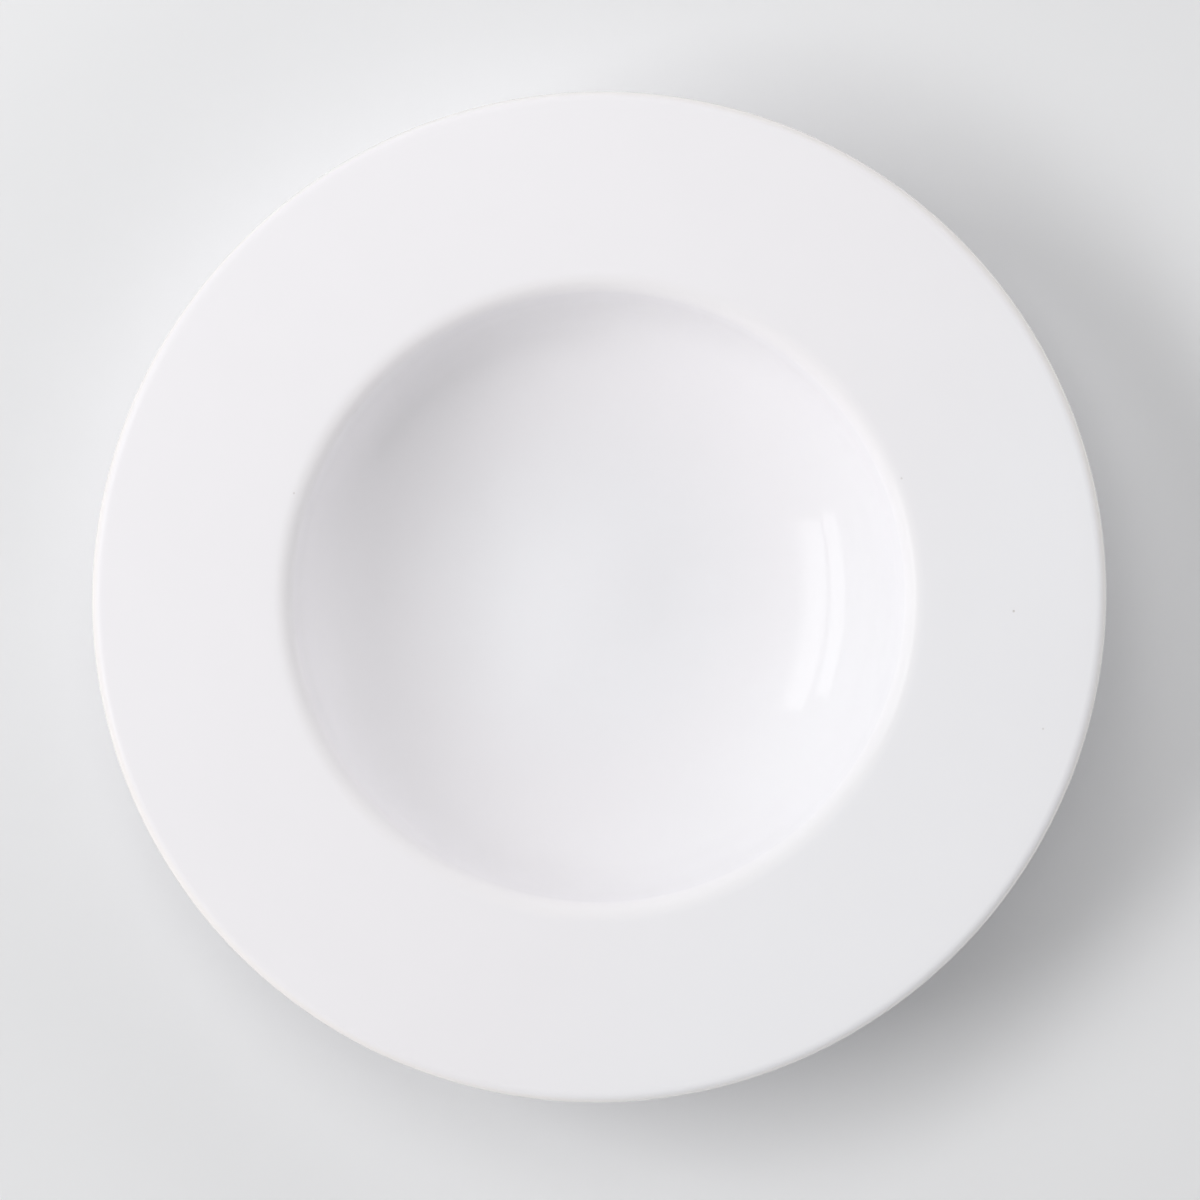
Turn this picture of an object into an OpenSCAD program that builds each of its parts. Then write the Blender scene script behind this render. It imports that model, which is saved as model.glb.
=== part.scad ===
// Wide-rimmed soup bowl: one fired clay body with a foot ring, and the glaze fused to it.
// Origin on the table at the middle of the foot ring, +Z up, millimetres.

/* [Bowl] */
// Diameter across the rim
rim_d = 280; // [240:1:340]
// Height from the table to the top of the rim
bowl_h = 50; // [48.5:0.5:62]
// Thickness of the floor, wall and rim, glaze included
wall_t = 4.8; // [4:0.1:5.8]

/* [Rim] */
// Radius under the rim's outer edge; the rounding above it takes the rest of the thickness
edge_under_r = 1.4; // [0.8:0.1:1.8]
// Radius of the hollow where the outside of the wall meets the underside of the rim
underlip_r = 3; // [2:0.5:4]

/* [Well] */
// Diameter of the well's mouth, where the flat rim starts to turn down
mouth_d = 180; // [164:1:226]
// Radius of the shallow dish in the floor
dish_r = 112; // [96:1:136]
// Radius of the heel, where the floor turns up
heel_r = 90; // [76:1:96]
// Radius of the curve high in the wall
wall_r = 26; // [18:0.5:29]
// Radius of the lip, where the wall turns over into the rim
lip_r = 6; // [5:0.5:11]

/* [Foot ring] */
// Diameter of the foot ring, at the middle of its standing face
foot_d = 102; // [84:1:124]
// Width of the standing face
stand_w = 2; // [1:0.1:4]
// Radius of the rounding on both sides of the standing face
foot_edge_r = 1.5; // [0.8:0.1:2]
// Radius of the coves where the foot ring grows out of the bowl
foot_cove_r = 3; // [2:0.5:4]
// Height of the hollow inside the foot ring, at its middle
recess_h = 4.2; // [3:0.1:5.5]

/* [Glaze] */
// Thickness of the fired glaze
glaze_t = 0.35; // [0.25:0.05:0.6]
// Height of the clay left bare above the standing face
bare_h = 2.2; // [1.9:0.1:3]

/* [Hidden] */
$fn = 256;

// Directions from a curve's centre to where the curve ends.
// Each is an exact fraction, so neighbouring curves share an end point and a tangent.
down = [0, -1];
out = [1, 0];
dish_end = [0.28, -0.96];
heel_end = [0.6, -0.8];
wall_end = [0.96, -0.28];
// Way from the corner of the wall's straight stretch and the flat rim to the centre of the curve
// that rounds it off, for each unit of the curve's radius
bisector = [0.75, -1];
// Draft of the wall's straight stretch and of the foot ring's faces, as run for each unit of rise
draft = 7 / 24;
// A cove bites this deep into the two faces it blends, so they cross and don't only touch
cove_bite = 0.01;
// Width of the bars that tie a curve to its neighbours, and how far they stop short of its faces
seam = 0.2;

// Heights of the curves' centres, from the floor up
floor_z = recess_h + wall_t;
dish_z = floor_z + dish_r;
heel_z = dish_z + (dish_r - heel_r) * dish_end.y;
wall_z = heel_z + (heel_r - wall_r) * heel_end.y;
lip_z = bowl_h - lip_r;

// The straight stretch of the wall takes up the height that the curves leave
straight_rise = lip_z - wall_z - (lip_r + wall_r) * wall_end.y;
straight_run = micron(straight_rise * draft);

// Centres of the curves, from the mouth inwards, and the corner that the lip rounds off
lip_c = [mouth_d / 2, lip_z];
lip_corner = lip_c - lip_r * bisector;
wall_c = [lip_c.x - (lip_r + wall_r) * wall_end.x - straight_run, wall_z];
heel_c = [wall_c.x - (heel_r - wall_r) * heel_end.x, heel_z];
dish_c = [heel_c.x - (dish_r - heel_r) * dish_end.x, dish_z];

// Rounded outer edge of the rim, a large curve above a small one
edge_over_r = wall_t - edge_under_r;
edge_over_c = [rim_d / 2 - edge_over_r, bowl_h - edge_over_r];
edge_under_c = [rim_d / 2 - edge_under_r, edge_over_c.y];

// Foot ring
foot_mid = foot_d / 2;
foot_top = under_z(foot_mid, wall_t / 2);
clay_under = wall_t - glaze_t;
cove_gap = foot_cove_r - cove_bite;

// A length to the nearest thousandth
function micron(x) = round(x * 1000) / 1000;

// Centre and radius of the floor curve that passes over radius r, at a depth below the well's face
function curve_over(r, depth) =
    r - dish_c.x < dish_end.x * (dish_r + depth) ? [dish_c, dish_r + depth]
    : r - heel_c.x < heel_end.x * (heel_r + depth) ? [heel_c, heel_r + depth]
    : [wall_c, wall_r + depth];

// Height of that curve above the table
function under_z(r, depth) =
    let (curve = curve_over(r, depth), run = max(r - curve[0].x, 0))
    curve[0].y - sqrt(curve[1] * curve[1] - run * run);

// Half the foot ring's width at a height, thickened by skin
function foot_half(z, skin) =
    let (r = foot_edge_r + skin)
    stand_w / 2 + r * wall_end.x + (z - foot_edge_r - r * wall_end.y) * draft;

// Top corner of a face of the foot ring, about halfway through the wall above it
// side is 1 for the outer face and -1 for the inner one
function foot_corner(side, skin) =
    let (z = under_z(foot_mid + side * foot_half(foot_top, skin), wall_t / 2))
    [side * foot_half(z, skin), z];

// Centre of the cove that lies against a face of the foot ring and a curve of the underside
function cove_on(side, centre, radius) =
    let (
        reach = radius + clay_under + cove_gap,
        x0 = foot_mid + side * foot_half(0, cove_gap) - centre.x,
        a = 1 + draft * draft,
        b = side * draft * x0 - centre.y,
        z = (-b - sqrt(b * b - a * (x0 * x0 + centre.y * centre.y - reach * reach))) / a
    )
    [x0 + centre.x + side * draft * z, z];

// The curve of the underside that a cove meets: the dish, or past its end the heel
function cove_curve(side) =
    let (x = cove_on(side, dish_c, dish_r).x)
    curve_over(x, clay_under + cove_gap)[0] == dish_c ? [dish_c, dish_r] : [heel_c, heel_r];

// Part of a ring, or of a disc if lo is 0, between two directions from its centre
// The directions are whole 25ths, so a reach of whole 25s ends at exact points
// A bar across each end keeps the seam with the next piece closed
module sector(c, lo, hi, from, to) {
    reach = 25 * ceil(2 * hi / 25);
    intersection() {
        translate(c) difference() {
            circle(hi);
            if (lo > 0) circle(lo);
        }
        polygon([c, c + reach * from, c + reach * to]);
    }
    gap = min(seam, (hi - lo) / 4);
    for (end = [from, to]) {
        side = seam / 2 * [-end.y, end.x];
        near = c + (lo + gap) * end;
        far = c + (hi - gap) * end;
        polygon([near - side, far - side, far + side, near + side]);
    }
}

// Section of the well's floor and curved wall between two depths below its finished face
module well_band(lo, hi) {
    translate([0, floor_z - hi]) square([dish_c.x, hi - lo]);
    sector(dish_c, dish_r + lo, dish_r + hi, down, dish_end);
    sector(heel_c, heel_r + lo, heel_r + hi, dish_end, heel_end);
    sector(wall_c, wall_r + lo, wall_r + hi, heel_end, wall_end);
}

// Gusset between the faces of the straight wall and the rim at a depth, and the curve of radius r
// that rounds off their corner
module lip_gusset(depth, r) {
    corner = lip_corner + depth * bisector;
    c = corner + r * bisector;
    difference() {
        polygon([corner, c - r * wall_end, c, c - r * down]);
        translate(c) circle(r);
    }
}

// Section of the straight wall, lip and flat rim, drawn in by inset on every side
module rim_band(inset) {
    over_r = lip_r - inset;
    under_r = underlip_r + inset;
    start = wall_c + wall_r * wall_end;
    over = lip_corner + inset * bisector;
    under = lip_corner + (wall_t - inset) * bisector;
    difference() {
        polygon([
            start + inset * wall_end,
            start + (wall_t - inset) * wall_end,
            under + under_r * (bisector - wall_end),
            under,
            [edge_under_c.x, under.y],
            edge_under_c,
            edge_over_c,
            [edge_over_c.x, over.y],
            over,
            over + over_r * (bisector - wall_end)
        ]);
        lip_gusset(inset, over_r);
    }
    lip_gusset(wall_t - inset, under_r);
    sector(edge_over_c, 0, edge_over_r - inset, out, -down);
    sector(edge_under_c, 0, edge_under_r - inset, down, out);
}

// The whole section without the foot ring, drawn in likewise
module bowl_section(inset) {
    well_band(inset, wall_t - inset);
    rim_band(inset);
}

// Cove between a face of the foot ring and the underside, thickened by skin
module foot_cove(side, skin) {
    curve = cove_curve(side);
    c = cove_on(side, curve[0], curve[1]);
    to_curve = (curve[0] - c) / norm(curve[0] - c);
    to_foot = [-side * wall_end.x, -wall_end.y];
    in_wall = c + (foot_cove_r + wall_t / 2) * to_curve;
    in_foot = c + (foot_cove_r + foot_edge_r) * to_foot;
    corner = [foot_mid, foot_top];
    difference() {
        polygon(side > 0 ? [c, in_wall, corner, in_foot] : [c, in_foot, corner, in_wall]);
        translate(c) circle(foot_cove_r - skin);
    }
}

// Foot ring above its standing edge, between two drafted faces thickened by skin
module foot_wall(from_z, skin) {
    low = foot_half(from_z, skin);
    translate([foot_mid, 0])
        polygon([[-low, from_z], [low, from_z], foot_corner(1, skin), foot_corner(-1, skin)]);
    foot_cove(1, skin);
    foot_cove(-1, skin);
}

// Standing edge of the foot ring, a flat face between two roundings
module foot_edge() {
    half = stand_w / 2;
    translate([foot_mid, 0]) {
        translate([-half, 0]) square([stand_w, foot_edge_r]);
        sector([half, foot_edge_r], 0, foot_edge_r, down, wall_end);
        sector([-half, foot_edge_r], 0, foot_edge_r, [-wall_end.x, wall_end.y], down);
    }
}

// Section of the clay
module clay_section() {
    bowl_section(glaze_t);
    foot_wall(foot_edge_r * (1 + wall_end.y), 0);
    foot_edge();
}

// Section of both coats of glaze, which stop at the bare band on the foot ring
module glaze_section() {
    difference() {
        union() {
            bowl_section(0);
            foot_wall(bare_h, glaze_t);
        }
        clay_section();
    }
}

// Everything below the middle of the floor's thickness, inside the foot ring
module recess_side() {
    intersection() {
        well_band(wall_t / 2, wall_t / 2 + bowl_h);
        square([foot_mid, bowl_h]);
    }
}

// Fired clay, in one piece from the floor to the rim and the foot ring
module bowl_body() {
    color("#e9e2d6") rotate_extrude() clay_section();
}

// Glaze over the well, the rim and the outside, down to the foot ring
module glaze_coat() {
    color("#f5f4f6") rotate_extrude() difference() {
        glaze_section();
        recess_side();
    }
}

// Glaze in the hollow inside the foot ring
module recess_glaze() {
    color("#f0eff1") rotate_extrude() intersection() {
        glaze_section();
        recess_side();
    }
}

bowl_body();
glaze_coat();
recess_glaze();
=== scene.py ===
"""A wide-rimmed white soup bowl: its two coats of glaze, its bare clay foot, and its floor, light and camera."""

import logging
import math
from dataclasses import dataclass, field
from enum import Enum
from typing import Any, Mapping, Union

import bmesh
import bpy
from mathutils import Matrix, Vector


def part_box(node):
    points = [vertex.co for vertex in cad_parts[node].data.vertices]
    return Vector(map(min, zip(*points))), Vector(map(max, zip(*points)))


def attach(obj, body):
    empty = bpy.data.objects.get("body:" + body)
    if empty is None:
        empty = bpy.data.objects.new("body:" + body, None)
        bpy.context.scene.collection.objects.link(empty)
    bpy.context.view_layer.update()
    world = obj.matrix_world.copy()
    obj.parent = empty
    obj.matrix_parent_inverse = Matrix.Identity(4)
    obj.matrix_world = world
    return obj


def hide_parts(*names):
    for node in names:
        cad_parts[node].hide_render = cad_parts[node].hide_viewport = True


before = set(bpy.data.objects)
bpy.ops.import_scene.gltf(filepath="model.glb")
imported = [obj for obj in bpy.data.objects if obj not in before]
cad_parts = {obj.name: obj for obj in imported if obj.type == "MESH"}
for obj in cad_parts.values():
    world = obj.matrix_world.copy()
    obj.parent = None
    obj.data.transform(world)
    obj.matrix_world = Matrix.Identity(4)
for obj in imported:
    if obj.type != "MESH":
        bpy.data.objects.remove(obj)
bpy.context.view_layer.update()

Colour = tuple[float, float, float]

MM = 0.001
FINE_STEP = 0.5 * MM
HIDDEN_STEP = 4.0 * MM
log = logging.getLogger("soup_bowl")


class Slot(Enum):
    """Material slots of the part's record."""

    CLAY = "fired_clay"
    GLAZE = "white_glaze"


class Side(Enum):
    """Faces of the foot ring."""

    OUTER = 1
    INNER = -1


@dataclass(frozen=True)
class Spot:
    """A point of the section: its distance from the axis and its height."""

    r: float
    z: float

    def off(self, length: float, slope: float) -> "Spot":
        """Gives the point at a length from this one, straight down at a slope of 0 and outwards at 90 degrees."""
        turn = math.radians(slope)
        return Spot(self.r + length * math.sin(turn), self.z - length * math.cos(turn))

    def slope_to(self, other: "Spot") -> float:
        """Gives the slope at which another point lies, in degrees."""
        return math.degrees(math.atan2(other.r - self.r, self.z - other.z))


class SectionPen:
    """Draws half a section in the XZ plane, one stretch after the other, and turns it about Z."""

    steps_in_line = 3.0
    widest_turn = 6.0

    def __init__(self, start: Spot, step: float) -> None:
        """Sets the pen down.

        Args:
            start: First point of the section.
            step: Longest edge on a curve.
        """
        self.mesh = bmesh.new()
        self.tip = self.mesh.verts.new((start.r, 0.0, start.z))
        self.step = step

    def line(self, end: Spot) -> None:
        """Draws a straight stretch in equal steps.

        Args:
            end: Last point of the stretch.
        """
        way = Vector((end.r, 0.0, end.z)) - self.tip.co
        count = max(1, math.ceil(way.length / (self.steps_in_line * self.step)))
        for _ in range(count):
            made = bmesh.ops.extrude_vert_indiv(self.mesh, verts=[self.tip])
            self.tip = made["verts"][0]
            bmesh.ops.translate(self.mesh, verts=[self.tip], vec=way / count)

    def arc(self, centre: Spot, degrees: float) -> None:
        """Draws a round stretch from the tip.

        Args:
            centre: Point that the stretch turns about.
            degrees: Angle of the turn, anticlockwise with the axis on the left.
        """
        hub = Vector((centre.r, 0.0, centre.z))
        length = math.radians(abs(degrees)) * (self.tip.co - hub).length
        made = bmesh.ops.spin(
            self.mesh,
            geom=[self.tip],
            cent=hub,
            axis=(0.0, -1.0, 0.0),
            angle=math.radians(degrees),
            steps=max(math.ceil(length / self.step), math.ceil(abs(degrees) / self.widest_turn)),
        )
        self.tip = next(v for v in made["geom_last"] if isinstance(v, bmesh.types.BMVert))

    def turn(self, steps: int) -> bmesh.types.BMesh:
        """Turns the section once round the axis.

        Args:
            steps: Number of sections round the bowl.

        Returns:
            The closed mesh, with its poles merged and its faces pointing outwards.
        """
        bmesh.ops.spin(
            self.mesh,
            geom=[*self.mesh.verts, *self.mesh.edges],
            cent=(0.0, 0.0, 0.0),
            axis=(0.0, 0.0, 1.0),
            angle=math.tau,
            steps=steps,
            use_merge=True,
        )
        bmesh.ops.remove_doubles(self.mesh, verts=self.mesh.verts[:], dist=1e-6)
        bmesh.ops.recalc_face_normals(self.mesh, faces=self.mesh.faces[:])
        return self.mesh


@dataclass(frozen=True)
class BowlForm:
    """Sizes of the bowl's section, in metres, with slopes in degrees."""

    rim_r: float
    height: float
    bare_h: float
    wall: float = 4.8 * MM
    glaze: float = 0.35 * MM
    floor_z: float = 9.0 * MM
    mouth_r: float = 90.0 * MM
    dish_r: float = 112.0 * MM
    heel_r: float = 90.0 * MM
    wall_r: float = 26.0 * MM
    lip_r: float = 6.0 * MM
    underlip_r: float = 3.0 * MM
    edge_under_r: float = 1.4 * MM
    foot_r: float = 51.0 * MM
    stand_w: float = 2.0 * MM
    foot_edge_r: float = 1.5 * MM
    cove_r: float = 3.0 * MM
    dish_slope: float = math.degrees(math.atan2(7, 24))
    heel_slope: float = math.degrees(math.atan2(3, 4))
    wall_slope: float = math.degrees(math.atan2(24, 7))

    @classmethod
    def from_frame(cls) -> "BowlForm":
        """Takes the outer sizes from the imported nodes."""
        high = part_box("glaze_coat")[1]
        return cls(rim_r=high.x, height=high.z, bare_h=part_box("recess_glaze")[0].z)

    @property
    def lip_c(self) -> Spot:
        """Centre of the lip."""
        return Spot(self.mouth_r, self.height - self.lip_r)

    @property
    def dish_z(self) -> float:
        """Height of the dish's centre."""
        return self.floor_z + self.dish_r

    @property
    def wall_c(self) -> Spot:
        """Centre of the curve high in the wall, a straight stretch below the lip."""
        heel_z = self.dish_z - (self.dish_r - self.heel_r) * math.cos(math.radians(self.dish_slope))
        wall_z = heel_z - (self.heel_r - self.wall_r) * math.cos(math.radians(self.heel_slope))
        slope = math.radians(self.wall_slope)
        rise = self.lip_c.z - wall_z + (self.lip_r + self.wall_r) * math.cos(slope)
        return Spot(self.lip_c.r - (self.lip_r + self.wall_r) * math.sin(slope) - rise / math.tan(slope), wall_z)

    @property
    def heel_c(self) -> Spot:
        """Centre of the heel."""
        return self.wall_c.off(self.wall_r - self.heel_r, self.heel_slope)

    @property
    def dish_c(self) -> Spot:
        """Centre of the dish."""
        return self.heel_c.off(self.heel_r - self.dish_r, self.dish_slope)

    @property
    def underlip_c(self) -> Spot:
        """Centre of the hollow between the outer wall and the underside of the rim."""
        reach = self.underlip_r + self.wall - self.lip_r
        return Spot(self.lip_c.r + reach * math.tan(math.radians(self.wall_slope / 2)), self.lip_c.z - reach)

    @property
    def edge_over_c(self) -> Spot:
        """Centre of the large rounding on top of the rim's edge."""
        radius = self.wall - self.edge_under_r
        return Spot(self.rim_r - radius, self.height - radius)

    @property
    def edge_under_c(self) -> Spot:
        """Centre of the small rounding under the rim's edge."""
        return Spot(self.rim_r - self.edge_under_r, self.edge_over_c.z)

    def foot_half(self, z: float, skin: float) -> float:
        """Gives half the width of the foot ring.

        Args:
            z: Height on the foot ring.
            skin: Thickness of glaze on its faces.

        Returns:
            The distance from the middle of the ring to its face.
        """
        slope = math.radians(self.wall_slope)
        edge = self.foot_edge_r + skin
        rise = z - self.foot_edge_r + edge * math.cos(slope)
        return self.stand_w / 2 + edge * math.sin(slope) + rise / math.tan(slope)

    def face_spot(self, side: Side, z: float, skin: float) -> Spot:
        """Gives a point on a face of the foot ring."""
        return Spot(self.foot_r + side.value * self.foot_half(z, skin), z)

    def under_curve(self, side: Side) -> tuple[Spot, float]:
        """Gives the centre and radius of the curve that a cove of the foot ring runs into."""
        if side is Side.OUTER:
            return self.heel_c, self.heel_r
        return self.dish_c, self.dish_r

    def cove_c(self, side: Side) -> Spot:
        """Gives the centre of the cove between a face of the foot ring and the underside.

        Args:
            side: Face of the foot ring.

        Returns:
            The point that lies a cove's radius from both.
        """
        hub, radius = self.under_curve(side)
        reach = radius + self.wall - self.glaze + self.cove_r
        lean = side.value / math.tan(math.radians(self.wall_slope))
        foot = self.face_spot(side, 0.0, self.cove_r).r - hub.r
        a = 1.0 + lean * lean
        b = lean * foot - hub.z
        c = foot * foot + hub.z * hub.z - reach * reach
        z = (-b - math.sqrt(b * b - a * c)) / a
        return Spot(foot + hub.r + lean * z, z)

    def cove_turn(self, side: Side) -> float:
        """Gives the angle that a cove turns through, from the underside down to the foot ring."""
        hub, _ = self.under_curve(side)
        middle = self.cove_c(side)
        return 180.0 + side.value * self.wall_slope - middle.slope_to(hub) % 360.0

    def draw_well(self, pen: SectionPen, depth: float) -> None:
        """Draws the well, the lip and the rim outwards from the axis, round the rim's edge to below it.

        Args:
            pen: Pen that stands on the axis, on the floor of the well.
            depth: Depth of the line below the finished face.
        """
        pen.line(Spot(self.dish_c.r, self.floor_z - depth))
        pen.arc(self.dish_c, self.dish_slope)
        pen.arc(self.heel_c, self.heel_slope - self.dish_slope)
        pen.arc(self.wall_c, self.wall_slope - self.heel_slope)
        pen.line(self.lip_c.off(depth - self.lip_r, self.wall_slope))
        pen.arc(self.lip_c, -self.wall_slope)
        pen.line(Spot(self.edge_over_c.r, self.height - depth))
        pen.arc(self.edge_over_c, -90.0)
        pen.arc(self.edge_under_c, -90.0)

    def draw_well_back(self, pen: SectionPen, depth: float) -> None:
        """Draws the same line inwards to the axis.

        Args:
            pen: Pen that stands below the edge of the rim.
            depth: Depth of the line below the finished face.
        """
        pen.arc(self.edge_under_c, 90.0)
        pen.arc(self.edge_over_c, 90.0)
        pen.line(Spot(self.mouth_r, self.height - depth))
        pen.arc(self.lip_c, self.wall_slope)
        pen.line(self.wall_c.off(self.wall_r + depth, self.wall_slope))
        pen.arc(self.wall_c, self.heel_slope - self.wall_slope)
        pen.arc(self.heel_c, self.dish_slope - self.heel_slope)
        pen.arc(self.dish_c, -self.dish_slope)
        pen.line(Spot(0.0, self.floor_z - depth))

    def draw_outside(self, pen: SectionPen, skin: float) -> None:
        """Draws the underside of the rim and the outer wall down to the foot ring's cove.

        Args:
            pen: Pen that stands below the edge of the rim.
            skin: Thickness of glaze on the clay.
        """
        depth = self.wall - self.glaze + skin
        middle = self.cove_c(Side.OUTER)
        pen.line(Spot(self.underlip_c.r, self.height - depth))
        pen.arc(self.underlip_c, self.wall_slope)
        pen.line(self.wall_c.off(self.wall_r + depth, self.wall_slope))
        pen.arc(self.wall_c, self.heel_slope - self.wall_slope)
        pen.arc(self.heel_c, self.heel_c.slope_to(middle) - self.heel_slope)
        pen.arc(middle, self.cove_turn(Side.OUTER))

    def draw_outside_back(self, pen: SectionPen, skin: float) -> None:
        """Draws the same line from the foot ring's face up to the rim.

        Args:
            pen: Pen that stands on the outer face of the foot ring.
            skin: Thickness of glaze on the clay.
        """
        depth = self.wall - self.glaze + skin
        middle = self.cove_c(Side.OUTER)
        pen.line(middle.off(self.cove_r - skin, 180.0 + self.wall_slope))
        pen.arc(middle, -self.cove_turn(Side.OUTER))
        pen.arc(self.heel_c, self.heel_slope - self.heel_c.slope_to(middle))
        pen.arc(self.wall_c, self.wall_slope - self.heel_slope)
        pen.line(self.underlip_c.off(depth - self.wall - self.underlip_r, self.wall_slope))
        pen.arc(self.underlip_c, -self.wall_slope)
        pen.line(Spot(self.edge_under_c.r, self.height - depth))

    def draw_recess(self, pen: SectionPen, skin: float) -> None:
        """Draws the hollow inside the foot ring outwards from the axis to the ring's inner face.

        Args:
            pen: Pen that stands on the axis, under the floor.
            skin: Thickness of glaze on the clay.
        """
        middle = self.cove_c(Side.INNER)
        pen.line(Spot(self.dish_c.r, self.floor_z - self.wall + self.glaze - skin))
        pen.arc(self.dish_c, self.dish_c.slope_to(middle))
        pen.arc(middle, self.cove_turn(Side.INNER))

    def draw_recess_back(self, pen: SectionPen, skin: float) -> None:
        """Draws the same line from the foot ring's inner face to the axis.

        Args:
            pen: Pen that stands on the inner face of the foot ring.
            skin: Thickness of glaze on the clay.
        """
        middle = self.cove_c(Side.INNER)
        pen.line(middle.off(self.cove_r - skin, 180.0 - self.wall_slope))
        pen.arc(middle, -self.cove_turn(Side.INNER))
        pen.arc(self.dish_c, -self.dish_c.slope_to(middle))
        pen.line(Spot(0.0, self.floor_z - self.wall + self.glaze - skin))


@dataclass(frozen=True)
class KilnWarp:
    """Small distortions that firing leaves in the rim, in metres and degrees; the foot stays true."""

    form: BowlForm
    oval: float = 0.55 * MM
    oval_axis: float = 33.0
    wave: float = 0.18 * MM
    wave_axis: float = 70.0
    true_past_foot: float = 8.0 * MM
    growth: float = 1.5

    def apply(self, mesh: bmesh.types.BMesh) -> None:
        """Pushes every point outside the foot ring, more and more towards the rim.

        Args:
            mesh: Mesh to bend.
        """
        start = self.form.foot_r + self.true_past_foot
        reach = self.form.rim_r - start
        for vert in mesh.verts:
            radius = math.hypot(vert.co.x, vert.co.y)
            share = min(max((radius - start) / reach, 0.0), 1.0) ** self.growth
            if share == 0.0:
                continue
            angle = math.atan2(vert.co.y, vert.co.x)
            grow = self.oval * math.cos(2.0 * (angle - math.radians(self.oval_axis))) * share / radius
            rise = self.wave * (math.cos(3.0 * (angle - math.radians(self.wave_axis))) - 1.0) * share
            vert.co = Vector((vert.co.x * (1.0 + grow), vert.co.y * (1.0 + grow), vert.co.z + rise))


@dataclass(frozen=True)
class GlazeLine:
    """The uneven line at which the glaze stops on the foot ring."""

    form: BowlForm
    side: Side
    waves: tuple[tuple[int, float, float], ...] = ((5, 0.11, 0.4), (13, 0.08, 2.1), (29, 0.05, 4.0))
    fade: float = 4.0 * MM
    reach: float = 8.0 * MM

    def apply(self, mesh: bmesh.types.BMesh) -> None:
        """Slides the points near the line up and down the foot ring's face.

        Args:
            mesh: Mesh of a coat of glaze.
        """
        slope = math.radians(self.form.wall_slope)
        for vert in mesh.verts:
            radius = math.hypot(vert.co.x, vert.co.y)
            gap = self.side.value * (radius - self.form.foot_r)
            share = 1.0 - (vert.co.z - self.form.bare_h) / self.fade
            if share <= 0.0 or not 0.0 < gap < self.reach:
                continue
            angle = math.atan2(vert.co.y, vert.co.x)
            slide = MM * share * sum(high * math.sin(count * angle + phase) for count, high, phase in self.waves)
            grow = 1.0 + self.side.value * slide * math.cos(slope) / radius
            vert.co = Vector((vert.co.x * grow, vert.co.y * grow, vert.co.z + slide * math.sin(slope)))


class Shade:
    """A number that changes over a surface; arithmetic on it adds Math nodes."""

    def __init__(self, graph: "Graph", socket: bpy.types.NodeSocket) -> None:
        """Wraps an output socket of a graph."""
        self.graph = graph
        self.socket = socket

    def _math(self, operation: str, first: "Number", second: "Number") -> "Shade":
        """Adds a Math node and wraps its result."""
        made = self.graph.node("ShaderNodeMath", {"operation": operation}, {0: first, 1: second})
        return Shade(self.graph, made.outputs[0])

    def __add__(self, other: "Number") -> "Shade":
        """Adds a number or another shade."""
        return self._math("ADD", self, other)

    __radd__ = __add__

    def __sub__(self, other: "Number") -> "Shade":
        """Takes a number or another shade away."""
        return self._math("SUBTRACT", self, other)

    def __rsub__(self, other: "Number") -> "Shade":
        """Takes this shade away from a number."""
        return self._math("SUBTRACT", other, self)

    def __mul__(self, other: "Number") -> "Shade":
        """Multiplies by a number or another shade."""
        return self._math("MULTIPLY", self, other)

    __rmul__ = __mul__

    def __pow__(self, other: "Number") -> "Shade":
        """Raises this shade to a power."""
        return self._math("POWER", self, other)

    def most(self, other: "Number") -> "Shade":
        """Keeps the larger of two shades."""
        return self._math("MAXIMUM", self, other)

    def hypot(self, other: "Shade") -> "Shade":
        """Gives the distance that two shades at right angles make."""
        return (self * self + other * other) ** 0.5

    def ease(self, low: float, high: float) -> "Shade":
        """Goes smoothly from 0 at one value to 1 at another, or back where low is the larger.

        Args:
            low: Value at which the result is 0.
            high: Value at which the result is 1.

        Returns:
            The eased shade.
        """
        ends = {"From Min": min(low, high), "From Max": max(low, high)}
        ends |= {"To Min": float(low > high), "To Max": float(low < high)}
        made = self.graph.node("ShaderNodeMapRange", {"interpolation_type": "SMOOTHSTEP"}, {"Value": self, **ends})
        return Shade(self.graph, made.outputs["Result"])


Number = Union[float, Shade]


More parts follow.
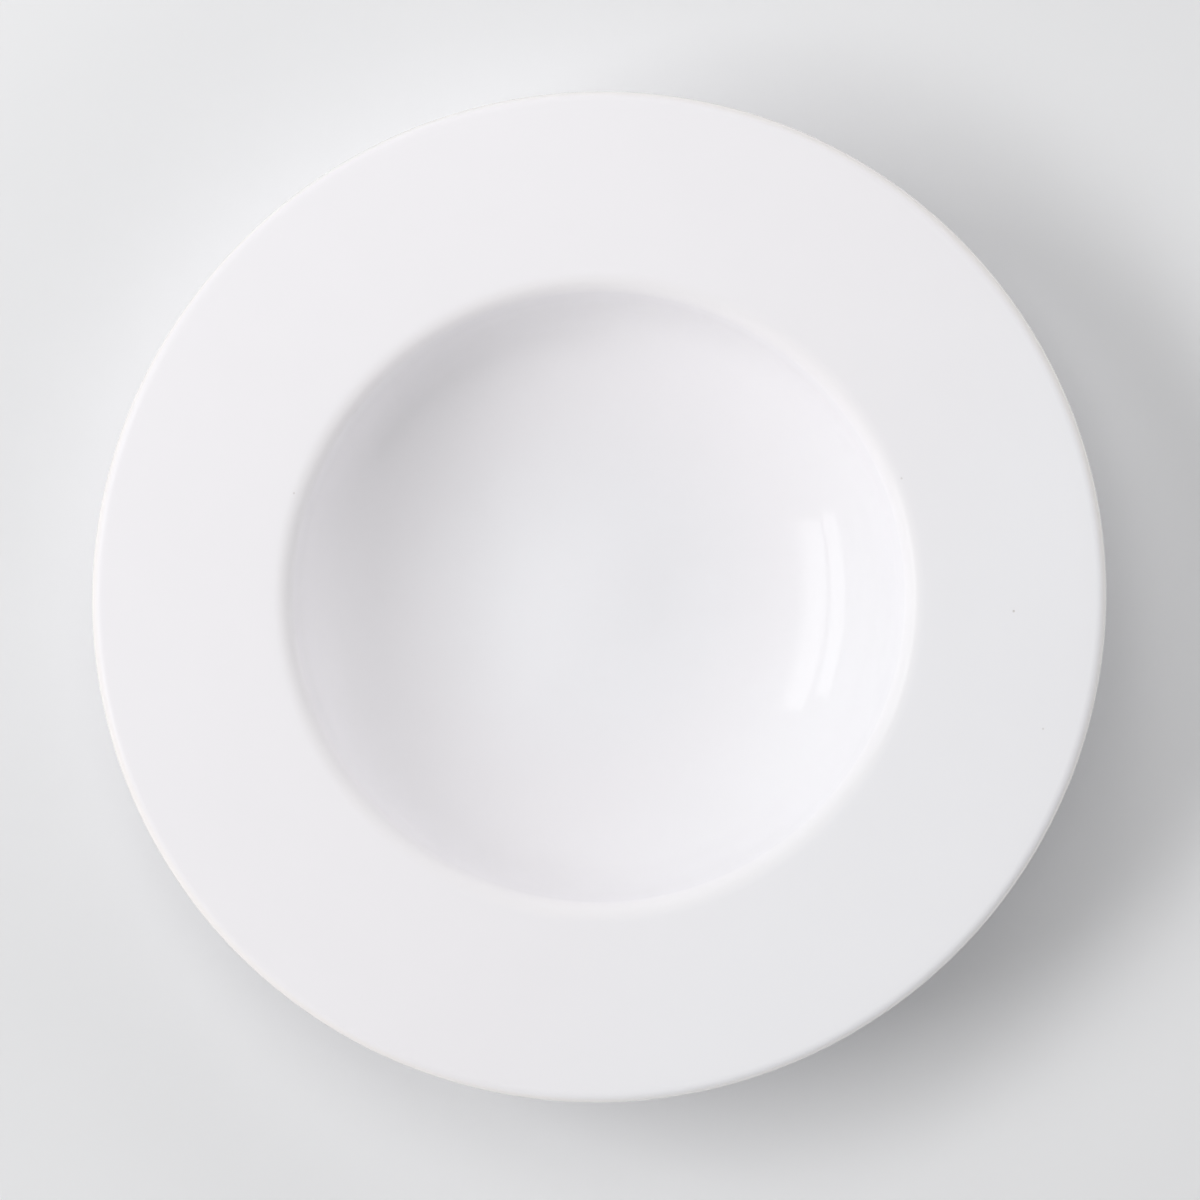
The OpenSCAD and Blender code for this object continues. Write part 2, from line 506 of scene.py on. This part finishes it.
class Graph:
    """The nodes of one material or of the world."""

    def __init__(self, tree: bpy.types.NodeTree) -> None:
        """Empties a node tree to build in."""
        tree.nodes.clear()
        self.tree = tree

    @classmethod
    def of_material(cls, name: str) -> tuple[bpy.types.Material, "Graph"]:
        """Makes an empty material.

        Args:
            name: Name of the material.

        Returns:
            The material and the graph to build it in.
        """
        material = bpy.data.materials.new(name)
        material.use_nodes = True
        return material, cls(material.node_tree)

    def node(self, kind: str, settings: Mapping[str, Any], inputs: Mapping[Any, Any]) -> bpy.types.Node:
        """Adds a node.

        Args:
            kind: Blender's name of the node type.
            settings: Properties of the node, set before its sockets.
            inputs: Values or links by the name or number of the socket.

        Returns:
            The new node.
        """
        made = self.tree.nodes.new(kind)
        for name, value in settings.items():
            setattr(made, name, value)
        for key, value in inputs.items():
            if isinstance(value, Shade):
                value = value.socket
            if isinstance(value, bpy.types.NodeSocket):
                self.tree.links.new(value, made.inputs[key])
            else:
                made.inputs[key].default_value = value
        return made

    def surface(self, kind: str, inputs: Mapping[Any, Any]) -> None:
        """Adds the shader of the surface.

        Args:
            kind: Blender's name of the shader's node type.
            inputs: Values or links by the name of the socket.
        """
        shader = self.node(kind, {}, inputs)
        self.node("ShaderNodeOutputMaterial", {}, {"Surface": shader.outputs[0]})

    def place(self) -> tuple[bpy.types.NodeSocket, Shade, Shade, Shade]:
        """Reads the object coordinates.

        Returns:
            The socket of all three, and each by itself.
        """
        place = self.node("ShaderNodeTexCoord", {}, {}).outputs["Object"]
        split = self.node("ShaderNodeSeparateXYZ", {}, {"Vector": place})
        x, y, z = (Shade(self, socket) for socket in split.outputs)
        return place, x, y, z

    def noise(self, place: bpy.types.NodeSocket, scale: float, detail: float) -> Shade:
        """Gives even noise.

        Args:
            place: Coordinates that the noise lies on.
            scale: Number of features in a metre.
            detail: Number of finer layers.

        Returns:
            Noise round a middle of 0.5.
        """
        made = self.node("ShaderNodeTexNoise", {}, {"Vector": place, "Scale": scale, "Detail": detail})
        return Shade(self, made.outputs["Fac"])

    def mix(self, factor: Number, low: Any, high: Any) -> bpy.types.NodeSocket:
        """Mixes two colours, each given as a colour or a socket.

        Args:
            factor: Share of the second colour.
            low: First colour.
            high: Second colour.

        Returns:
            The socket of the mixed colour.
        """
        ends = {6: (*low, 1.0) if isinstance(low, tuple) else low, 7: (*high, 1.0) if isinstance(high, tuple) else high}
        made = self.node("ShaderNodeMix", {"data_type": "RGBA"}, {0: factor, **ends})
        return made.outputs[2]

    def bump(self, height: Shade, distance: float, under: Any = None) -> bpy.types.NodeSocket:
        """Turns a height into a normal.

        Args:
            height: Height between 0 and 1.
            distance: Real height of 1, in metres.
            under: Normal of a coarser bump below this one.

        Returns:
            The socket of the bent normal.
        """
        links = {"Height": height, "Strength": 1.0, "Distance": distance}
        if under is not None:
            links["Normal"] = under
        return self.node("ShaderNodeBump", {}, links).outputs["Normal"]


@dataclass(frozen=True)
class GlazeFinish:
    """White gloss glaze: cooler where it pools, with the same cooler colour painted on the lower-right side as a light
    tint, creamy where it runs thin over an edge.
    """

    form: BowlForm
    white: Colour = (0.898, 0.8815, 0.906)
    # Cool colour of pooled glaze, also painted as a light tint on the lower-right side.
    pooled_and_light_tint: Colour = (0.896, 0.893, 0.917)
    thin: Colour = (0.875, 0.832, 0.786)
    speck: Colour = (0.36, 0.31, 0.27)
    speck_at: tuple[float, float] = (114.2 * MM, -3.9 * MM)
    roughness: float = 0.05
    ior: float = 1.5
    cloud_scale: float = 14.0
    mottle_scale: float = 75.0
    wave_scale: float = 26.0
    wave_height: float = 0.05 * MM
    peel_scale: float = 380.0
    peel_height: float = 0.004 * MM
    speck_scale: float = 24.0

    def make(self) -> bpy.types.Material:
        """Builds the material.

        Returns:
            The glaze, patterned on object coordinates.
        """
        material, graph = Graph.of_material("white_gloss_glaze")
        place, x, y, z = graph.place()
        radius = x.hypot(y)
        cloud = graph.noise(place, self.cloud_scale, 3.0)
        mottle = graph.noise(place, self.mottle_scale, 4.0)
        specks = self._specks(graph, place, x, y)

        # Pooled glaze, and a painted light tint on the lower-right side, both in the cooler colour.
        colour = graph.mix(self._pool_and_painted_tint(x, y, z, cloud), self.white, self.pooled_and_light_tint)
        colour = graph.mix(self._thin(radius, z) * (0.7 + 0.6 * mottle), colour, self.thin)
        shade = (0.985 + 0.03 * cloud) * (0.994 + 0.012 * mottle)
        grey = graph.node("ShaderNodeCombineXYZ", {}, {0: shade, 1: shade, 2: shade})
        tone = graph.node("ShaderNodeVectorMath", {"operation": "MULTIPLY"}, {0: colour, 1: grey.outputs[0]})
        colour = graph.mix(specks, tone.outputs[0], self.speck)

        wave = graph.bump(graph.noise(place, self.wave_scale, 1.0), self.wave_height)
        peel = graph.bump(graph.noise(place, self.peel_scale, 2.0) - 0.6 * specks, self.peel_height, wave)
        graph.surface(
            "ShaderNodeBsdfPrincipled",
            {
                "Base Color": colour,
                "Roughness": self.roughness - 0.015 + 0.03 * mottle + 0.3 * specks,
                "IOR": self.ior,
                "Normal": peel,
            },
        )
        return material

    def _pool_and_painted_tint(self, x: Shade, y: Shade, z: Shade, cloud: Shade) -> Shade:
        """Marks the thick glaze and the side with a painted light tint.

        Args:
            x: First coordinate.
            y: Second coordinate.
            z: Height.
            cloud: Noise that breaks up the edges of the thick glaze and of the painted light tint.

        Returns:
            A mask that is 1 in the bottom of the well and in the recess, where the glaze pools, and on the lower-right
            side, where the cooler colour is a painted light tint.
        """
        radius = x.hypot(y)
        well = radius.ease(66.0 * MM, 20.0 * MM) * (0.75 + 0.5 * cloud)
        recess = z.ease(11.0 * MM, 6.0 * MM) * radius.ease(60.0 * MM, 56.0 * MM)
        # Painted light tint: the lower-right side (+X, -Y) takes the cooler colour.
        painted_light_tint = (0.87 * x - 0.5 * y + 40.0 * MM * cloud).ease(30.0 * MM, 120.0 * MM)
        return well.most(recess).most(painted_light_tint)

    def _thin(self, radius: Shade, z: Shade) -> Shade:
        """Marks the thin glaze.

        Args:
            radius: Distance from the axis.
            z: Height.

        Returns:
            A mask that is strong on the rim's edge and faint on the lip.
        """
        rim_r, mouth_r, height = self.form.rim_r, self.form.mouth_r, self.form.height
        rim = radius.ease(rim_r - 2.2 * MM, rim_r - 0.4 * MM)
        lip = radius.ease(mouth_r - 6.5 * MM, mouth_r - 4.5 * MM) * radius.ease(mouth_r, mouth_r - 3.0 * MM)
        return (0.5 * rim).most(0.1 * lip * z.ease(height - 6.0 * MM, height - 3.0 * MM))

    def _specks(self, graph: Graph, place: bpy.types.NodeSocket, x: Shade, y: Shade) -> Shade:
        """Scatters iron specks, with one at a chosen place on the rim.

        Args:
            graph: Graph of the material.
            place: Object coordinates.
            x: First coordinate.
            y: Second coordinate.

        Returns:
            A mask that is 1 on a speck.
        """
        sockets = {"Vector": place, "Scale": self.speck_scale, "Randomness": 1.0}
        cells = graph.node("ShaderNodeTexVoronoi", {"voronoi_dimensions": "2D"}, sockets)
        chance = Shade(graph, graph.node("ShaderNodeSeparateColor", {}, {0: cells.outputs["Color"]}).outputs[0])
        spread = Shade(graph, cells.outputs["Distance"]).ease(0.0085, 0.0055) * chance.ease(0.9, 0.94)
        single = (x - self.speck_at[0]).hypot(y - self.speck_at[1]).ease(0.42 * MM, 0.26 * MM)
        return (0.25 * spread).most(0.4 * single)


@dataclass(frozen=True)
class ClayFinish:
    """Bare fired clay: matt and grainy, toasted along the glaze line, rubbed grey where it stands."""

    form: BowlForm
    clay: Colour = (0.77, 0.715, 0.63)
    grain: Colour = (0.66, 0.59, 0.49)
    toast: Colour = (0.69, 0.55, 0.39)
    rubbed: Colour = (0.68, 0.655, 0.61)
    roughness: float = 0.82
    ior: float = 1.45
    grit_scale: float = 1600.0
    grit_height: float = 0.05 * MM
    patch_scale: float = 90.0
    ring_scale: float = 2600.0
    ring_height: float = 0.03 * MM

    def make(self) -> bpy.types.Material:
        """Builds the material.

        Returns:
            The clay, patterned on object coordinates.
        """
        material, graph = Graph.of_material("bare_fired_clay")
        place, x, y, z = graph.place()
        grit = graph.noise(place, self.grit_scale, 3.0)
        patch = graph.noise(place, self.patch_scale, 4.0)
        ring = {0: x.hypot(y) * self.ring_scale, 1: z * self.ring_scale, 2: patch * 1.5}
        turned = graph.noise(graph.node("ShaderNodeCombineXYZ", {}, ring).outputs[0], 1.0, 2.0)
        edge = z.ease(self.form.bare_h - 0.9 * MM, self.form.bare_h - 0.1 * MM)
        stand = z.ease(0.45 * MM, 0.05 * MM)

        colour = graph.mix(grit.ease(0.48, 0.68), self.clay, self.grain)
        colour = graph.mix(edge * (0.35 + 0.8 * patch), colour, self.toast)
        colour = graph.mix(stand * (0.3 + 0.7 * patch), colour, self.rubbed)
        rings = graph.bump(turned, self.ring_height)
        graph.surface(
            "ShaderNodeBsdfPrincipled",
            {
                "Base Color": colour,
                "Roughness": self.roughness - 0.16 * stand + 0.1 * patch,
                "IOR": self.ior,
                "Normal": graph.bump(grit, self.grit_height, rings),
            },
        )
        return material


@dataclass(frozen=True)
class FloorFinish:
    """Plain pale matt floor with a barely seen unevenness, which fades into the backdrop far from the bowl."""

    colour: Colour = (0.845, 0.847, 0.857)
    shade: Colour = (0.83, 0.832, 0.842)
    cloud_scale: float = 30.0
    fade_from: float = 0.9
    fade_to: float = 1.8

    def make(self) -> bpy.types.Material:
        """Builds the material.

        Returns:
            The floor's finish.
        """
        material, graph = Graph.of_material("pale_floor")
        place, x, y, _ = graph.place()
        colour = graph.mix(graph.noise(place, self.cloud_scale, 5.0), self.colour, self.shade)
        near = x.hypot(y).ease(self.fade_to, self.fade_from)
        matt = {"Roughness": 0.9, "Specular IOR Level": 0.2}
        graph.surface("ShaderNodeBsdfPrincipled", {"Base Color": colour, "Alpha": near, **matt})
        return material


@dataclass
class BowlPiece:
    """One physical piece of the bowl: a closed mesh turned about the axis."""

    form: BowlForm
    warp: KilnWarp
    name: str = ""
    node: str = ""
    slot: Slot = Slot.GLAZE
    step: float = 1.6 * MM
    steps: int = 288

    def section(self) -> SectionPen:
        """Draws the half section of the piece."""
        raise NotImplementedError

    def settle(self, mesh: bmesh.types.BMesh) -> None:
        """Works the turned mesh over: here, the warp of the kiln."""
        self.warp.apply(mesh)

    def build(self) -> bpy.types.Object:
        """Makes the piece's object and ties it to the frame.

        Returns:
            The object, at the origin.
        """
        mesh = self.section().turn(self.steps)
        self.settle(mesh)
        for face in mesh.faces:
            face.smooth = True
        data = bpy.data.meshes.new(self.name)
        mesh.to_mesh(data)
        mesh.free()
        piece = bpy.data.objects.new(self.name, data)
        bpy.context.scene.collection.objects.link(piece)
        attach(piece, "root")
        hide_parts(self.node)
        return piece

    def dress(self, piece: bpy.types.Object, material: bpy.types.Material) -> None:
        """Gives the piece its finish."""
        piece.data.materials.append(material)


@dataclass
class GlazeCoat(BowlPiece):
    """Glaze over the well, the rim and the outside, down to its beaded line on the foot ring."""

    name: str = "glaze_shell"
    node: str = "glaze_coat"

    def section(self) -> SectionPen:
        """Draws the finished face from the axis to the foot ring, then the face on the clay back.

        Returns:
            The pen, back on the axis.
        """
        form = self.form
        pen = SectionPen(Spot(0.0, form.floor_z), self.step)
        form.draw_well(pen, 0.0)
        form.draw_outside(pen, form.glaze)
        outer = form.face_spot(Side.OUTER, form.bare_h, form.glaze)
        inner = form.face_spot(Side.OUTER, form.bare_h, 0.0)
        pen.line(outer)
        pen.arc(Spot((outer.r + inner.r) / 2, form.bare_h), -180.0)
        pen.step = HIDDEN_STEP
        form.draw_outside_back(pen, 0.0)
        form.draw_well_back(pen, form.glaze)
        return pen

    def settle(self, mesh: bmesh.types.BMesh) -> None:
        """Adds the uneven glaze line to the warp."""
        GlazeLine(self.form, Side.OUTER).apply(mesh)
        super().settle(mesh)


@dataclass
class ClayBody(BowlPiece):
    """Fired clay under the glaze, bare on the foot ring."""

    name: str = "clay_body"
    node: str = "bowl_body"
    slot: Slot = Slot.CLAY

    def section(self) -> SectionPen:
        """Draws the clay from the axis over the rim and the foot ring and back.

        Returns:
            The pen, back on the axis.
        """
        form = self.form
        pen = SectionPen(Spot(0.0, form.floor_z - form.glaze), HIDDEN_STEP)
        form.draw_well(pen, form.glaze)
        form.draw_outside(pen, 0.0)
        pen.step = FINE_STEP
        tangent = form.foot_edge_r * (1.0 - math.cos(math.radians(form.wall_slope)))
        half = form.stand_w / 2
        pen.line(form.face_spot(Side.OUTER, tangent, 0.0))
        pen.arc(Spot(form.foot_r + half, form.foot_edge_r), -form.wall_slope)
        pen.line(Spot(form.foot_r - half, 0.0))
        pen.arc(Spot(form.foot_r - half, form.foot_edge_r), -form.wall_slope)
        pen.line(form.face_spot(Side.INNER, form.bare_h, 0.0))
        pen.step = HIDDEN_STEP
        form.draw_recess_back(pen, 0.0)
        return pen


@dataclass
class RecessGlaze(BowlPiece):
    """Glaze in the hollow inside the foot ring."""

    name: str = "recess_shell"
    node: str = "recess_glaze"

    def section(self) -> SectionPen:
        """Draws the finished face from the axis to the foot ring, then the face on the clay back.

        Returns:
            The pen, back on the axis.
        """
        form = self.form
        pen = SectionPen(Spot(0.0, form.floor_z - form.wall), self.step)
        form.draw_recess(pen, form.glaze)
        outer = form.face_spot(Side.INNER, form.bare_h, form.glaze)
        inner = form.face_spot(Side.INNER, form.bare_h, 0.0)
        pen.line(outer)
        pen.arc(Spot((outer.r + inner.r) / 2, form.bare_h), 180.0)
        pen.step = HIDDEN_STEP
        form.draw_recess_back(pen, 0.0)
        return pen

    def settle(self, mesh: bmesh.types.BMesh) -> None:
        """Adds the uneven glaze line to the warp."""
        GlazeLine(self.form, Side.INNER, ((4, 0.1, 1.3), (11, 0.09, 0.2), (31, 0.05, 2.6))).apply(mesh)
        super().settle(mesh)


@dataclass(frozen=True)
class Panel:
    """A flat panel that faces the bowl, placed by the angle it is seen at, in degrees and metres."""

    name: str
    azimuth: float
    elevation: float
    width: float
    height: float
    distance: float = 3.0
    aim_z: float = 30.0 * MM

    def hang(self, data: Any) -> bpy.types.Object:
        """Hangs a lamp or a sheet in the panel's place.

        Args:
            data: Lamp or mesh that lies in its own XY plane.

        Returns:
            The object, turned to the bowl.
        """
        item = bpy.data.objects.new(self.name, data)
        a, e = math.radians(self.azimuth), math.radians(self.elevation)
        back = Vector((math.cos(a) * math.cos(e), math.sin(a) * math.cos(e), math.sin(e)))
        item.location = Vector((0.0, 0.0, self.aim_z)) + back * self.distance
        item.rotation_euler = (-back).to_track_quat("-Z", "Y").to_euler()
        bpy.context.scene.collection.objects.link(item)
        return item


@dataclass(frozen=True)
class SoftBox(Panel):
    """A soft lamp that shows neither in the picture nor in a reflection."""

    power: float = 30.0
    colour: Colour = (1.0, 1.0, 1.0)

    def build(self) -> None:
        """Makes the lamp."""
        lamp = bpy.data.lights.new(self.name, "AREA")
        lamp.shape = "RECTANGLE"
        lamp.size, lamp.size_y = self.width, self.height
        lamp.energy = self.power
        lamp.color = self.colour
        item = self.hang(lamp)
        item.visible_camera = item.visible_glossy = False


@dataclass(frozen=True)
class GlareCard(Panel):
    """A card that only reflections show, for a glint or a shade in the glaze; its glow may change towards its top."""

    glow: float = 2.15
    top_glow: float = 2.15

    def build(self) -> None:
        """Makes the card."""
        mesh = bmesh.new()
        bmesh.ops.create_grid(mesh, x_segments=1, y_segments=1, size=0.5)
        bmesh.ops.scale(mesh, vec=(self.width, self.height, 1.0), verts=mesh.verts[:])
        data = bpy.data.meshes.new(self.name)
        mesh.to_mesh(data)
        mesh.free()
        card = self.hang(data)
        card.visible_camera = card.visible_diffuse = card.visible_shadow = False
        card.visible_transmission = card.visible_volume_scatter = False
        material, graph = Graph.of_material(self.name)
        _, _, height, _ = graph.place()
        ends = ((glow, glow, glow) for glow in (self.glow, self.top_glow))
        colour = graph.mix(height.ease(0.0, self.height / 2), *ends)
        graph.surface("ShaderNodeEmission", {"Color": colour, "Strength": 1.0})
        card.data.materials.append(material)


@dataclass
class Studio:
    """Floor, lamps and room light."""

    floor_size: float = 6.0
    room: float = 0.03
    backdrop: Colour = (0.85, 0.85, 0.86)
    panels: tuple[Union[SoftBox, GlareCard], ...] = field(
        default=(
            SoftBox("window", 178.0, 41.0, 1.68, 0.76, 2.4, power=34.9),
            SoftBox("sky", 120.0, 55.0, 0.65, 0.45, 1.5, power=3.2),
            SoftBox("ceiling", 110.0, 78.0, 0.8, 0.8, 1.5, power=4.1),
            SoftBox("far_fill", 85.0, 30.0, 0.9, 0.45, 1.4, power=2.3),
            SoftBox("right_fill", 0.0, 23.0, 2.4, 0.9, power=12.2),
            SoftBox("right_low", 30.0, 12.0, 1.3, 0.9, power=16.0),
            SoftBox("right_sheen", 0.0, 15.0, 2.4, 0.7, power=3.1),
            SoftBox("near_right", 315.0, 25.0, 1.8, 0.9, power=7.3),
            SoftBox("near_fill", 285.0, 30.0, 1.8, 0.9, power=5.2),
            SoftBox("near_low", 252.0, 14.0, 1.8, 0.7, power=10.8),
            SoftBox("near_graze", 240.0, 5.0, 1.4, 0.36, power=10.0),
            SoftBox("far_graze", 102.0, 5.0, 1.8, 0.36, power=7.0),
            GlareCard("upper_pane", 174.7, 40.0, 2.2, 0.55, top_glow=1.2),
            GlareCard("lower_pane", 178.0, 30.2, 2.1, 0.28),
            GlareCard("dark_room", 297.0, 19.0, 3.4, 1.9, glow=0.45, top_glow=0.85),
        )
    )

    def build(self) -> None:
        """Lays the floor and hangs the panels."""
        mesh = bmesh.new()
        bmesh.ops.create_grid(mesh, x_segments=8, y_segments=8, size=self.floor_size / 2)
        data = bpy.data.meshes.new("floor")
        mesh.to_mesh(data)
        mesh.free()
        floor = bpy.data.objects.new("floor", data)
        bpy.context.scene.collection.objects.link(floor)
        floor.data.materials.append(FloorFinish().make())
        for panel in self.panels:
            panel.build()
            log.info("panel %s", panel.name)
        self._room_light()

    def _room_light(self) -> None:
        """Sets the even light of the room and the pale backdrop that the camera and reflections see."""
        world = bpy.data.worlds.new("room")
        bpy.context.scene.world = world
        world.use_nodes = True
        graph = Graph(world.node_tree)
        path = graph.node("ShaderNodeLightPath", {}, {})
        seen = Shade(graph, path.outputs["Is Camera Ray"]).most(Shade(graph, path.outputs["Is Glossy Ray"]))
        seen = seen.most(Shade(graph, path.outputs["Is Transmission Ray"]))
        light = graph.node("ShaderNodeBackground", {}, {"Color": (1.0, 1.0, 1.0, 1.0), "Strength": self.room})
        show = graph.node("ShaderNodeBackground", {}, {"Color": (*self.backdrop, 1.0), "Strength": 1.0})
        both = graph.node("ShaderNodeMixShader", {}, {0: seen, 1: light.outputs[0], 2: show.outputs[0]})
        graph.node("ShaderNodeOutputWorld", {}, {"Surface": both.outputs[0]})


@dataclass(frozen=True)
class OverheadCamera:
    """Camera straight above the bowl, its picture's top towards +Y."""

    height: float = 1.0
    frame_width: float = 330.6 * MM
    across: float = 0.2 * MM
    along: float = -0.83 * MM
    sensor: float = 36.0

    def build(self, rim_z: float) -> None:
        """Hangs the camera over the rim.

        Args:
            rim_z: Height of the rim, at which the picture has its full width.
        """
        data = bpy.data.cameras.new("overhead")
        data.sensor_width = self.sensor
        data.lens = self.sensor * self.height / self.frame_width
        camera = bpy.data.objects.new("overhead", data)
        camera.location = (self.across, self.along, rim_z + self.height)
        bpy.context.scene.collection.objects.link(camera)
        bpy.context.scene.camera = camera


def main() -> None:
    """Builds the bowl and its picture, piece by piece."""
    logging.basicConfig(level=logging.INFO, format="%(name)s: %(message)s")
    form = BowlForm.from_frame()
    warp = KilnWarp(form)
    finishes = {Slot.GLAZE: GlazeFinish(form).make(), Slot.CLAY: ClayFinish(form).make()}
    for piece in (ClayBody(form, warp), GlazeCoat(form, warp), RecessGlaze(form, warp)):
        item = piece.build()
        piece.dress(item, finishes[piece.slot])
        log.info("%s: %d faces", item.name, len(item.data.polygons))
    Studio().build()
    OverheadCamera().build(form.height)
    bpy.context.scene.view_settings.view_transform = "Standard"
    bpy.context.view_layer.update()


if __name__ == "__main__":
    main()
